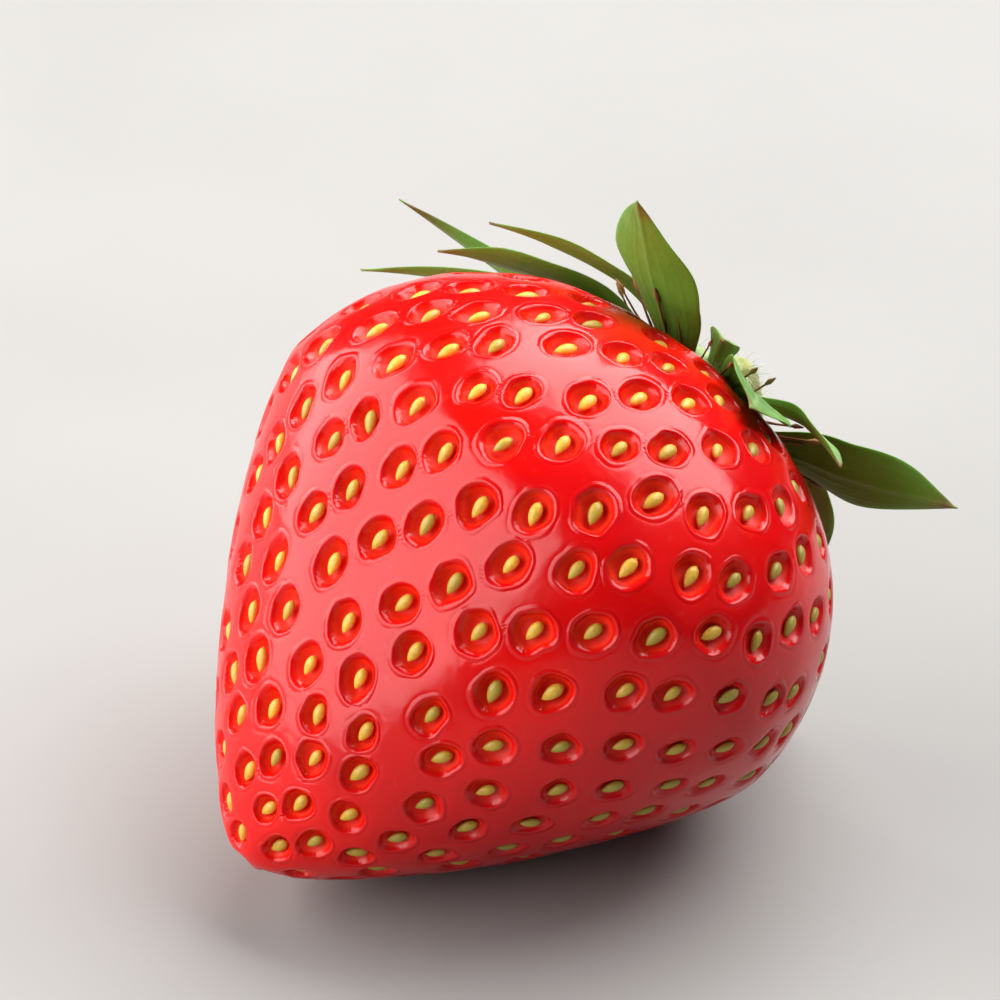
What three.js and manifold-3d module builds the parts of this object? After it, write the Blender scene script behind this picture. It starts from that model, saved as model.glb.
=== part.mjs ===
// A fresh strawberry lying on its flank, as picked: one solid fruit, a calyx of six sepals and six
// bractlets around a collar, and a short stalk that is bent over and cut.
//
// Units are millimetres. In the finished part +Z is up, the tip points to -Y and the stalk end to +Y,
// and the origin is on the table, below the middle of the bounding box.
//
// Every piece is first shaped in the berry's own frame: +Y runs along the core towards the stalk, the
// origin is on the core, level with the top of the shoulder, and +Z is the side that ends up on top.
// The berry group then tips that frame until the fruit lies as its own weight would lay it.

import * as THREE from "three";
import { mergeVertices } from "three/addons/utils/BufferGeometryUtils.js";
import Module from "manifold-3d";

// ---- driving dimensions -------------------------------------------------------------------------

// Fruit
const FRUIT_HALF_WIDTH = 19; // at the widest ring
const FRUIT_LENGTH = 38.4; // from the top of the shoulder to the tip, along the core
const WIDEST_BELOW_CROWN = 14.8; // how far down the core the widest ring lies
const CROWN_RADIUS = 13; // how far out the crown stays nearly flat
const CROWN_DIP = 1.8; // depth of the hollow that the calyx sits in
const CROWN_DIP_RADIUS = 8.5;
const SHOULDER_DROP = 7.7; // how far below the crown the shoulder turns to run along the core
const FLANK_BOW = 1.21; // exponents of the flank's curve: 1 and 1 make a straight cone,
const FLANK_CLOSING = 1.22; // 2 and 2 make an ellipse
const TIP_ROUNDING = 3.4; // radius that the flank's curve is rounded with
const SECTION_HEIGHT = 0.87; // height over width of a cross-section
const RIB_DEPTH = 0.029; // how far the three soft lobes stand out, over the local radius
const RIB_COUNT = 3;
const RIB_TURN = 21; // degrees from +X to the first lobe
const PRESSED_DEPTH = 0.35; // how much of the belly is flattened where the fruit rests

// Calyx
const SEAT_GAP = 0.3; // clearance wherever one piece sits on or against another
const COLLAR_RADIUS = 4;
const COLLAR_UNDER_RADIUS = 2; // it narrows to this below, to fit the hollow
const COLLAR_HEIGHT = 2.1;
const COLLAR_WELL_RADIUS = 2.3; // the well that the stalk stands in
const COLLAR_WELL_FLOOR = 0.9; // thickness left below the well
const LOBE_THICKNESS = 0.45;
const LOBE_CAMBER = 0.16; // rise of a lobe's edges over its half width
const LOBE_TIP_WIDTH = 0.4;
const SEPAL_LENGTH = 16;
const SEPAL_WIDTH = 5.8;
const SEPAL_ROOT_WIDTH = 3;
const BRACTLET_LENGTH = 13;
const BRACTLET_WIDTH = 2.8;
const BRACTLET_ROOT_WIDTH = 1.4;
const LAYER_STEP = 1.15; // the bractlets leave the collar this far above the sepals

// Stalk
const STALK_RADIUS = 0.95;
const STALK_RISE = 2.2; // how far it climbs out of the well before it bends over
const STALK_REACH = 10; // how far it leans out over the calyx
const STALK_LEAN = 246; // degrees from +X to the side it leans to

// How each lobe differs from the plain one: its turn round the core in degrees, its length and width
// over the plain ones, the height in mm of its tip above the shoulder, its sideways sweep in degrees
// and its roll in degrees, both reached at the tip.
const SEPALS = [
  { turn: -25, length: 0.57, width: 1.08, rise: 7.2, sweep: 12, roll: -34 },
  { turn: 36, length: 0.58, width: 0.9, rise: 0.8, sweep: 4, roll: -6 },
  { turn: 94, length: 0.66, width: 1.16, rise: 7.2, sweep: -8, roll: 0 },
  { turn: 147, length: 0.8, width: 0.86, rise: 2.0, sweep: 2, roll: -6 },
  { turn: 202, length: 0.9, width: 0.92, rise: 9.6, sweep: -34, roll: 8 },
  { turn: 270, length: 1.0, width: 0.94, rise: 4.6, sweep: 6, roll: -8 },
];
const BRACTLETS = [
  { turn: 10, length: 0.66, width: 0.9, rise: 1.2, sweep: 4, roll: 8 },
  { turn: 63, length: 0.38, width: 0.75, rise: 0.3, sweep: -5, roll: 0 },
  { turn: 126, length: 0.82, width: 0.88, rise: 1.4, sweep: 3, roll: 8 },
  { turn: 174, length: 1.24, width: 0.84, rise: 3.0, sweep: -12, roll: -6 },
  { turn: 228, length: 1.1, width: 1.05, rise: 4.2, sweep: -4, roll: 10 },
  { turn: 304, length: 0.6, width: 0.95, rise: 1.0, sweep: -12, roll: -8 },
];

// How finely the shapes are cut into faces
const SHOULDER_STEPS = 12;
const FLANK_STEPS = 22;
const RING_SIDES = 56;
const LOBE_STEPS = 13;
const LOBE_SLICES = 4;
const STALK_SIDES = 12;
const STALK_STEPS = 18;
const COLLAR_SIDES = 36;

// ---- materials ----------------------------------------------------------------------------------

const skin = new THREE.MeshStandardMaterial({ color: "#d0160f", roughness: 0.25 });
const sepalGreen = new THREE.MeshStandardMaterial({ color: "#3f7a2a", roughness: 0.6 });
const bractletGreen = new THREE.MeshStandardMaterial({ color: "#5d8f45", roughness: 0.65 });
const collarGreen = new THREE.MeshStandardMaterial({ color: "#8aa766", roughness: 0.8 });
const stalkGreen = new THREE.MeshStandardMaterial({ color: "#9db26a", roughness: 0.7 });

// ---- the fruit's outline ------------------------------------------------------------------------

/** How far the crown's hollow lies below the shoulder at a distance from the core. */
function crownHollow(radius) {
  const share = Math.min(1, radius / CROWN_DIP_RADIUS);
  return CROWN_DIP * (1 - share * share) ** 2;
}

/** The half outline from the crown to the tip, as points of distance from the core and place along it. */
function outlinePoints(shoulderSteps, flankSteps) {
  const widest = new THREE.Vector2(FRUIT_HALF_WIDTH, -WIDEST_BELOW_CROWN);
  const shoulder = new THREE.CubicBezierCurve(
    new THREE.Vector2(0, 0),
    new THREE.Vector2(CROWN_RADIUS, 0),
    new THREE.Vector2(FRUIT_HALF_WIDTH, -SHOULDER_DROP),
    widest,
  );
  const points = shoulder.getPoints(shoulderSteps);
  points.forEach((point) => (point.y -= crownHollow(point.x)));

  // The flank is the curve down ** bow + out ** closing = 1, pushed out along its normal by the
  // tip's rounding.
  const reach = FRUIT_HALF_WIDTH - TIP_ROUNDING;
  const depth = FRUIT_LENGTH - WIDEST_BELOW_CROWN - TIP_ROUNDING;
  for (let i = 1; i <= flankSteps; i++) {
    const sweep = (i / flankSteps) * (Math.PI / 2);
    const down = Math.sin(sweep) ** (2 / FLANK_BOW);
    const out = i < flankSteps ? Math.cos(sweep) ** (2 / FLANK_CLOSING) : 0;
    const normal = new THREE.Vector2(
      (FLANK_CLOSING * out ** (FLANK_CLOSING - 1)) / reach,
      (-FLANK_BOW * down ** (FLANK_BOW - 1)) / depth,
    );
    const point = new THREE.Vector2(reach * out, widest.y - depth * down);
    points.push(point.addScaledVector(normal.normalize(), TIP_ROUNDING));
  }
  return points;
}

/** Gives a round section its real shape: a little lower than wide, with soft lobes. */
function shapeSection(point) {
  const turn = Math.atan2(point.z, point.x);
  const swell = 1 + RIB_DEPTH * Math.cos(RIB_COUNT * (turn - THREE.MathUtils.degToRad(RIB_TURN)));
  point.x *= swell;
  point.z *= swell * SECTION_HEIGHT;
  return point;
}

/** Moves every vertex of a geometry with a function of its position. */
function reshape(geometry, move) {
  const places = geometry.getAttribute("position");
  const point = new THREE.Vector3();
  for (let i = 0; i < places.count; i++) {
    move(point.fromBufferAttribute(places, i));
    places.setXYZ(i, point.x, point.y, point.z);
  }
  geometry.computeVertexNormals();
  return geometry;
}

/** How far the core tips down towards the tip when the fruit lies at rest, in radians. */
function restingTilt() {
  const fine = outlinePoints(200, 400);
  let volume = 0;
  let moment = 0;
  for (let i = 1; i < fine.length; i++) {
    const radius = (fine[i].x + fine[i - 1].x) / 2;
    const slice = radius * radius * (fine[i - 1].y - fine[i].y);
    volume += slice;
    moment += (slice * (fine[i].y + fine[i - 1].y)) / 2;
  }
  const balance = moment / volume;
  // The fruit rests where its flank comes nearest to its centre of mass.
  const reach = (p) => Math.hypot(p.y - balance, SECTION_HEIGHT * p.x);
  const flank = fine.filter((p) => p.y < -SHOULDER_DROP && p.x > FRUIT_HALF_WIDTH / 2);
  const foot = flank.reduce((best, p) => (reach(p) < reach(best) ? p : best));
  return Math.atan2(balance - foot.y, SECTION_HEIGHT * foot.x);
}

const tilt = restingTilt();

// ---- the fruit ----------------------------------------------------------------------------------

const wasm = await Module();
wasm.setup();

/** A closed geometry as a manifold-3d solid. */
function solidOf(geometry) {
  const bare = geometry.clone();
  bare.deleteAttribute("normal");
  bare.deleteAttribute("uv");
  const merged = mergeVertices(bare);
  return new wasm.Manifold(
    new wasm.Mesh({
      numProp: 3,
      vertProperties: merged.getAttribute("position").array,
      triVerts: new Uint32Array(merged.index.array),
    }),
  );
}

/** A manifold-3d solid as a three.js geometry. */
function geometryOf(solid) {
  const { vertProperties, triVerts } = solid.getMesh();
  const geometry = new THREE.BufferGeometry();
  geometry.setAttribute("position", new THREE.BufferAttribute(vertProperties, 3));
  geometry.setIndex(new THREE.BufferAttribute(triVerts, 1));
  geometry.computeVertexNormals();
  return geometry;
}

/** The whole fruit before it is laid down, with no flat spot. */
function roundFruit() {
  const outline = outlinePoints(SHOULDER_STEPS, FLANK_STEPS).reverse(); // tip first, so faces look out
  return reshape(new THREE.LatheGeometry(outline, RING_SIDES), shapeSection);
}

/** Height of the table in the tipped frame: a little above the lowest point of the round fruit. */
function tableHeight(geometry) {
  const places = geometry.getAttribute("position");
  let lowest = Infinity;
  for (let i = 0; i < places.count; i++) {
    const height = places.getY(i) * Math.sin(tilt) + places.getZ(i) * Math.cos(tilt);
    lowest = Math.min(lowest, height);
  }
  return lowest + PRESSED_DEPTH;
}

/** The fruit with the flat spot that it rests on, cut level in the tipped frame. */
function restingFruit(geometry, table) {
  const block = 4 * FRUIT_LENGTH;
  const below = new THREE.BoxGeometry(block, block, block);
  below.translate(0, 0, table - block / 2).rotateX(-tilt);
  return geometryOf(solidOf(geometry).subtract(solidOf(below)));
}

// ---- the calyx ----------------------------------------------------------------------------------

const collarFoot = SEAT_GAP - crownHollow(COLLAR_UNDER_RADIUS);
const wellFloor = collarFoot + COLLAR_WELL_FLOOR;

/** The collar: a low ring that the lobes leave from, with a well for the stalk. */
function collar() {
  const top = collarFoot + COLLAR_HEIGHT;
  const lip = (COLLAR_RADIUS + COLLAR_WELL_RADIUS) / 2;
  const edge = COLLAR_HEIGHT / 6; // size of the bevels beside the lip
  const outline = [
    [0, collarFoot],
    [COLLAR_UNDER_RADIUS, collarFoot],
    [COLLAR_RADIUS, collarFoot + COLLAR_HEIGHT / 3],
    [COLLAR_RADIUS, top - edge],
    [lip, top],
    [COLLAR_WELL_RADIUS, top - edge],
    [COLLAR_WELL_RADIUS - edge, wellFloor],
    [0, wellFloor],
  ];
  const points = outline.map(([radius, height]) => new THREE.Vector2(radius, height));
  return reshape(new THREE.LatheGeometry(points, COLLAR_SIDES), shapeSection);
}

const outlineCurve = new THREE.SplineCurve(outlinePoints(60, 60));
const outlineLength = outlineCurve.getLength();
const hollowSlope = (1.54 * CROWN_DIP) / CROWN_DIP_RADIUS; // where the hollow is steepest

/** A lobe's width at a share of its length: a narrow root, a full middle and a drawn-out tip. */
function lobeWidth(share, width, rootWidth) {
  const blade = Math.sin(Math.PI * share ** 1.08);
  const root = rootWidth * (1 - share) ** 2;
  return Math.max(LOBE_TIP_WIDTH, root + (width - root / 2) * blade);
}

/** One sepal or bractlet: a thin cambered blade that follows the shoulder and lifts off it to its tip. */
function lobe(plain, own) {
  const length = plain.length * own.length;
  const width = plain.width * own.width;
  const clear = SEAT_GAP + LOBE_THICKNESS / 2 + plain.layer;
  // The hollow leans the root towards the collar, so the root starts that much farther out.
  const start = COLLAR_RADIUS + SEAT_GAP + (clear + LOBE_THICKNESS / 2) * hollowSlope;
  const across = new THREE.Vector3(0, 0, 1);
  const radians = THREE.MathUtils.degToRad;

  return reshape(new THREE.BoxGeometry(1, 1, 1, LOBE_STEPS, 1, LOBE_SLICES), (point) => {
    const share = point.x + 0.5;
    const side = point.z * 2;
    const layer = point.y;
    const along = (start + share * length) / outlineLength;
    const foot = outlineCurve.getPointAt(along);
    const heading = outlineCurve.getTangentAt(along);
    const outward = new THREE.Vector3(-heading.y, heading.x, 0);
    const roll = radians(own.roll) * share;
    const sideways = across.clone().applyAxisAngle(new THREE.Vector3(heading.x, heading.y, 0), roll);
    const upward = outward.clone().applyAxisAngle(new THREE.Vector3(heading.x, heading.y, 0), roll);
    const half = lobeWidth(share, width, plain.rootWidth) / 2;
    const camber = LOBE_CAMBER * half * side * side;
    point
      .set(foot.x, foot.y, 0)
      .addScaledVector(outward, clear + own.rise * share * share)
      .addScaledVector(sideways, half * side)
      .addScaledVector(upward, camber + LOBE_THICKNESS * layer);
    const turn = radians(own.turn) + radians(own.sweep) * share * share;
    shapeSection(point.applyAxisAngle(new THREE.Vector3(0, 1, 0), -turn));
  });
}

const plainSepal = {
  length: SEPAL_LENGTH,
  width: SEPAL_WIDTH,
  rootWidth: SEPAL_ROOT_WIDTH,
  layer: 0,
};
const plainBractlet = {
  length: BRACTLET_LENGTH,
  width: BRACTLET_WIDTH,
  rootWidth: BRACTLET_ROOT_WIDTH,
  layer: LAYER_STEP,
};

// ---- the stalk ----------------------------------------------------------------------------------

/** The stalk: it stands in the collar's well, bends over and ends in a square cut. */
function stalk() {
  const foot = wellFloor + SEAT_GAP;
  const side = THREE.MathUtils.degToRad(STALK_LEAN);
  const lean = (reach, height) =>
    new THREE.Vector3(reach * Math.cos(side), height, reach * Math.sin(side));
  const path = new THREE.CubicBezierCurve3(
    lean(0, foot),
    lean(0, foot + 1.4 * STALK_RISE),
    lean(STALK_REACH / 3, foot + 1.2 * STALK_RISE),
    lean(STALK_REACH, foot + STALK_RISE),
  );
  const section = new THREE.Shape().absarc(0, 0, STALK_RADIUS, 0, 2 * Math.PI);
  return new THREE.ExtrudeGeometry(section, {
    extrudePath: path,
    steps: STALK_STEPS,
    curveSegments: STALK_SIDES,
  });
}

// ---- assembly -----------------------------------------------------------------------------------

const berry = new THREE.Group();

function addPiece(name, geometry, material) {
  const mesh = new THREE.Mesh(geometry, material);
  mesh.name = name;
  berry.add(mesh);
}

const fruit = roundFruit();
const table = tableHeight(fruit);
addPiece("fruit", restingFruit(fruit, table), skin);
addPiece("calyx_collar", collar(), collarGreen);
SEPALS.forEach((own, i) => addPiece(`sepal_${i + 1}`, lobe(plainSepal, own), sepalGreen));
BRACTLETS.forEach((own, i) => addPiece(`bractlet_${i + 1}`, lobe(plainBractlet, own), bractletGreen));
addPiece("stalk", stalk(), stalkGreen);

// Tip the berry as it lies, then bring the table to z = 0 and the middle of the box over the origin.
berry.rotation.x = tilt;
const box = new THREE.Box3().setFromObject(berry, true);
const middle = box.getCenter(new THREE.Vector3());
berry.position.set(-middle.x, -middle.y, -table);

const part = new THREE.Group();
part.add(berry);

export default part;
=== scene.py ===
"""A ripe strawberry lying on its flank: pitted skin, seeds, calyx, collar and a cut stalk.

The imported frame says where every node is. The fruit, the leaves and the stalk are shaped here by
the same rules as that frame, only finer: the fruit's outline is turned about the core, and the
leaves follow its shoulder. Sizes in the classes are millimetres; meshes are in metres.

In the berry's own frame +Y runs along the core towards the stalk, the origin is on the core, level
with the top of the shoulder, and +Z is the side that ends up on top.
"""

import logging
import math
from collections.abc import Sequence
from dataclasses import dataclass, field
from enum import Enum
from functools import partial

import bpy
import numpy as np
from mathutils import Matrix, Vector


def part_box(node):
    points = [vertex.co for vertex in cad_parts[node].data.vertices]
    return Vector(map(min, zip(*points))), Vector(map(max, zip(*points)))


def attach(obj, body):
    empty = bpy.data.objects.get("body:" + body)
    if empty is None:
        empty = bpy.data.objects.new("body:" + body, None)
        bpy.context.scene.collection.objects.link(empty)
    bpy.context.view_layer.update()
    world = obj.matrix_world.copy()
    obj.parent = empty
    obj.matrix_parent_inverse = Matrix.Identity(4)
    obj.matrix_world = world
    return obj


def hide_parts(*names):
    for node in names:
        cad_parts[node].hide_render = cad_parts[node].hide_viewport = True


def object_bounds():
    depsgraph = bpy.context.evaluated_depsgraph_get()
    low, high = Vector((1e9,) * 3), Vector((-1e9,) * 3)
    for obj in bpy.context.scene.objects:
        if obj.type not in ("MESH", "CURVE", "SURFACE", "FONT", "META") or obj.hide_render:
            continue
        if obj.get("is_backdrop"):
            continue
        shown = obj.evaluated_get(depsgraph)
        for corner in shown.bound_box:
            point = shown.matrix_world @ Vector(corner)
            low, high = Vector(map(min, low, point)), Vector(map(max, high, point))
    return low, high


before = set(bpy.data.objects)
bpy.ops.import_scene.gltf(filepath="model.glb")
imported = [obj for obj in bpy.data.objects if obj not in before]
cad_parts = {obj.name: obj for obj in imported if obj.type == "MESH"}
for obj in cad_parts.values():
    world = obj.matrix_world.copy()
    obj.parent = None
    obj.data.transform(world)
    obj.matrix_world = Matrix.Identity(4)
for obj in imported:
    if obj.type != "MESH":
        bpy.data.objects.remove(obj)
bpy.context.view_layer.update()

MM = 0.001
FULL_TURN = 2 * math.pi
GOLDEN_TURN = math.pi * (3 - math.sqrt(5))
log = logging.getLogger("strawberry")

Piece = bpy.types.Object
Material = bpy.types.Material
Node = bpy.types.Node
Socket = bpy.types.NodeSocket


# ---- small helpers -------------------------------------------------------------------------------


def linear(colour: str) -> tuple[float, float, float, float]:
    """Turns an sRGB hex colour to linear light.

    Args:
        colour: the colour as "#rrggbb".

    Returns:
        Red, green, blue and an alpha of 1.
    """
    shares = [int(colour[i : i + 2], 16) / 255 for i in (1, 3, 5)]
    bent = [c / 12.92 if c <= 0.04045 else ((c + 0.055) / 1.055) ** 2.4 for c in shares]
    return (*bent, 1.0)


def add_node(
    tree: bpy.types.NodeTree, kind: str, inputs: dict | None = None, **settings: object
) -> Node:
    """Adds a node with its settings and links.

    Args:
        tree: the shader or geometry tree that gets the node.
        kind: the node's type name.
        inputs: for each input's name or number a value, another node's output, or a node, whose
            first output is meant.
        settings: the node's own properties.

    Returns:
        The new node.
    """
    node = tree.nodes.new(kind)
    for name, value in settings.items():
        setattr(node, name, value)
    for key, value in (inputs or {}).items():
        if isinstance(value, Node):
            value = value.outputs[0]
        if isinstance(value, Socket):
            tree.links.new(value, node.inputs[key])
        else:
            node.inputs[key].default_value = value
    return node


def mesh_object(
    name: str,
    points: np.ndarray,
    faces: Sequence = (),
    marks: dict[str, np.ndarray] | None = None,
    material: Material | None = None,
) -> Piece:
    """Makes a smooth mesh object at the origin, with the faces of a closed mesh outwards.

    Args:
        name: the object's name.
        points: the vertices in metres, one row each.
        faces: lists of vertex numbers; none for a cloud of points.
        marks: for each attribute's name one number, or one row of three, for each vertex.
        material: what it is made of.

    Returns:
        The object, linked to the scene.
    """
    mesh = bpy.data.meshes.new(name)
    mesh.from_pydata(np.asarray(points).tolist(), [], [list(map(int, f)) for f in faces])
    mesh.shade_smooth()
    mesh.calc_loop_triangles()
    corners = np.empty(3 * len(mesh.loop_triangles), dtype=np.int32)
    mesh.loop_triangles.foreach_get("vertices", corners)
    first, second, third = np.asarray(points)[corners.reshape(-1, 3)].transpose(1, 0, 2)
    if (np.cross(first, second) * third).sum() < 0:
        mesh.flip_normals()
    for mark, values in (marks or {}).items():
        flat = np.asarray(values, dtype=np.float32)
        kind, key = ("FLOAT_VECTOR", "vector") if flat.ndim == 2 else ("FLOAT", "value")
        mesh.attributes.new(mark, kind, "POINT").data.foreach_set(key, flat.ravel())
    if material:
        mesh.materials.append(material)
    made = bpy.data.objects.new(name, mesh)
    bpy.context.scene.collection.objects.link(made)
    return made


def ring_faces(rows: int, sides: int, poles: bool = False) -> list[list[int]]:
    """The faces of a closed skin over rings of points, which are numbered ring by ring.

    Args:
        rows: how many rings.
        sides: points in each ring.
        poles: whether the ends are drawn to two more points, numbered last, and not capped flat.

    Returns:
        Lists of point numbers.
    """
    grid = np.arange(rows * sides).reshape(rows, sides)
    after = np.roll(grid, -1, axis=1)
    faces = np.stack([grid[:-1], after[:-1], after[1:], grid[1:]], -1).reshape(-1, 4).tolist()
    if not poles:
        return faces + [grid[0][::-1].tolist(), grid[-1].tolist()]
    faces += [[a, b, grid.size] for a, b in zip(after[0], grid[0])]
    return faces + [[a, b, grid.size + 1] for a, b in zip(grid[-1], after[-1])]


def ring_points(
    middle: np.ndarray, thick: np.ndarray, axes: tuple, sides: int
) -> np.ndarray:
    """Lays rings of points along a middle line.

    Args:
        middle: the middle line, one row for each ring.
        thick: each ring's size.
        axes: the two half axes of a ring of size 1.
        sides: points in each ring.

    Returns:
        The points, one row each, ring by ring.
    """
    turn = (np.arange(sides) / sides * FULL_TURN)[None, :, None]
    ring = np.cos(turn) * np.array(axes[0]) + np.sin(turn) * np.array(axes[1])
    return (middle[:, None] + thick[:, None, None] * ring).reshape(-1, 3)


def seat(piece: Piece, node: str = "") -> Piece:
    """Hands a finished piece to the frame. All of them ride on its one body.

    Args:
        piece: the piece.
        node: the node that it stands for, where there is one.

    Returns:
        The same piece.
    """
    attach(piece, "root")
    if node:
        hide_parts(node)
    return piece


def smoothstep(low: float, high: float, value: np.ndarray) -> np.ndarray:
    """Rises smoothly from 0 at low to 1 at high."""
    share = np.clip((value - low) / (high - low), 0, 1)
    return share * share * (3 - 2 * share)


def unit(vectors: np.ndarray) -> np.ndarray:
    """Gives each row of an array the length 1."""
    return vectors / np.linalg.norm(vectors, axis=-1, keepdims=True)


def bezier(corners: Sequence, steps: int) -> np.ndarray:
    """Finds points along a cubic curve.

    Args:
        corners: its four control points, one row each.
        steps: how many equal steps of the parameter.

    Returns:
        steps + 1 points, one row each.
    """
    t = np.linspace(0, 1, steps + 1)[:, None]
    a, b, c, d = np.array(corners, dtype=float)
    return (1 - t) ** 3 * a + 3 * (1 - t) ** 2 * t * b + 3 * (1 - t) * t * t * c + t**3 * d


# ---- geometry node recipes -----------------------------------------------------------------------


class GrowRecipe:
    """A geometry node tree with named inputs, run once on a base mesh to make a plain mesh."""

    def __init__(
        self, name: str, sizes: dict, numbers: Sequence[str] = (), vectors: Sequence[str] = ()
    ) -> None:
        """Makes the tree with a geometry input and one input for each size.

        Args:
            name: the tree's name.
            sizes: each input's name and the value that it is run with.
            numbers: the names of stored numbers that the recipe reads, kept in marks.
            vectors: the names of stored vectors that it reads, kept there too.
        """
        self.tree = bpy.data.node_groups.new(name, "GeometryNodeTree")
        self.add = partial(add_node, self.tree)
        self.sizes = sizes
        sockets = {way: ("Geometry", "Geometry", way) for way in ("INPUT", "OUTPUT")}
        for key, value in sizes.items():
            kind = "Object" if isinstance(value, Piece) else "Float"
            sockets[key] = (key, "Int" if isinstance(value, int) else kind, "INPUT")
        for label, kind, way in sockets.values():
            self.tree.interface.new_socket(label, in_out=way, socket_type=f"NodeSocket{kind}")
        self.given = self.add("NodeGroupInput").outputs
        self.marks = {
            mark: self.add("GeometryNodeInputNamedAttribute", {"Name": mark}, data_type=kind)
            for kind, marks in (("FLOAT", numbers), ("FLOAT_VECTOR", vectors))
            for mark in marks
        }

    def grow(self, base: Piece, name: str, geometry: Node, material: Material) -> Piece:
        """Ends the recipe, runs it on a base object and leaves a plain mesh in its place.

        Args:
            base: the object that the tree's geometry input reads; it is removed.
            name: the new piece's name.
            geometry: the last node before instances are made real and take the material.
            material: what the piece is made of.

        Returns:
            The new object, with no modifier.
        """
        real = self.add("GeometryNodeRealizeInstances", {"Geometry": geometry})
        done = self.add("GeometryNodeSetMaterial", {"Geometry": real, "Material": material})
        self.add("NodeGroupOutput", {"Geometry": done})
        modifier = base.modifiers.new(self.tree.name, "NODES")
        modifier.node_group = self.tree
        for socket in self.tree.interface.items_tree:
            if socket.in_out == "INPUT" and socket.name in self.sizes:
                modifier[socket.identifier] = self.sizes[socket.name]
        seen = bpy.context.evaluated_depsgraph_get()
        mesh = bpy.data.meshes.new_from_object(
            base.evaluated_get(seen), preserve_all_data_layers=True, depsgraph=seen
        )
        mesh.name = name
        bpy.data.objects.remove(base)
        made = bpy.data.objects.new(name, mesh)
        bpy.context.scene.collection.objects.link(made)
        return made


# ---- finishes ------------------------------------------------------------------------------------


@dataclass(frozen=True)
class Show:
    """Where a layer of a finish shows, and how strongly.

    Its number goes smoothly from first to last as its source passes through reach. The source is
    the number stored on the mesh as mark or, without one, a cloudy pattern around 0.5 whose patches
    are about patch mm across and have detail finer layers.
    """

    reach: tuple[float, float] = (0.3, 0.7)
    last: float = 1.0
    mark: str = ""
    patch: float = 1.0
    detail: float = 2.0
    first: float = 0.0


class Finish:
    """A material in the making, painted layer over layer."""

    def __init__(self, name: str) -> None:
        """Starts an empty material.

        Args:
            name: what the real surface is.
        """
        self.own = bpy.data.materials.new(name)
        self.own.use_nodes = True
        self.own.node_tree.nodes.clear()
        self.add = partial(add_node, self.own.node_tree)
        self.place = self.add("ShaderNodeTexCoord").outputs["Object"]

    def source(self, show: Show) -> Socket:
        """Finds the number that a layer follows.

        Args:
            show: where the layer shows.

        Returns:
            The stored number, or the cloudy pattern.
        """
        if show.mark:
            return self.add("ShaderNodeAttribute", attribute_name=show.mark).outputs["Fac"]
        cloud = {"Scale": 1 / (show.patch * MM), "Detail": show.detail, "Roughness": 0.55}
        return self.add("ShaderNodeTexNoise", {"Vector": self.place, **cloud}).outputs[0]

    def share(self, *shows: Show) -> Node:
        """Works out how strongly a layer shows.

        Args:
            shows: where it shows; it shows where all of them do.

        Returns:
            The node that gives the number.
        """
        total = None
        for show in shows:
            low, high = show.reach
            rise = {0: self.source(show), 1: low, 2: high, 3: show.first, 4: show.last}
            part = self.add("ShaderNodeMapRange", rise, interpolation_type="SMOOTHSTEP")
            if total is not None:
                part = self.add("ShaderNodeMath", {0: total, 1: part}, operation="MULTIPLY")
            total = part
        return total

    def done(
        self, ground: str, layers: Sequence[tuple], inputs: dict, heights: Sequence[tuple] = ()
    ) -> Material:
        """Paints the colour, raises the relief and closes the material.

        Args:
            ground: the lowest colour.
            layers: each later layer's colour, and where it shows.
            inputs: the shader's other inputs.
            heights: what stands up from the surface, one over another: its number, how high it
                stands in mm, and its strength.

        Returns:
            The material.
        """
        colour = linear(ground)
        for over, *shows in layers:
            mixed = {0: self.share(*shows), 6: colour, 7: linear(over)}
            colour = self.add("ShaderNodeMix", mixed, data_type="RGBA").outputs[2]
        inputs = {"Base Color": colour, **inputs}
        bent = {}
        for height, high, strength in heights:
            bump = {"Height": height, "Distance": high * MM, "Strength": strength, **bent}
            bent = {"Normal": self.add("ShaderNodeBump", bump)}
        shader = self.add("ShaderNodeBsdfPrincipled", inputs | bent)
        self.add("ShaderNodeOutputMaterial", {"Surface": shader})
        return self.own


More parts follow.
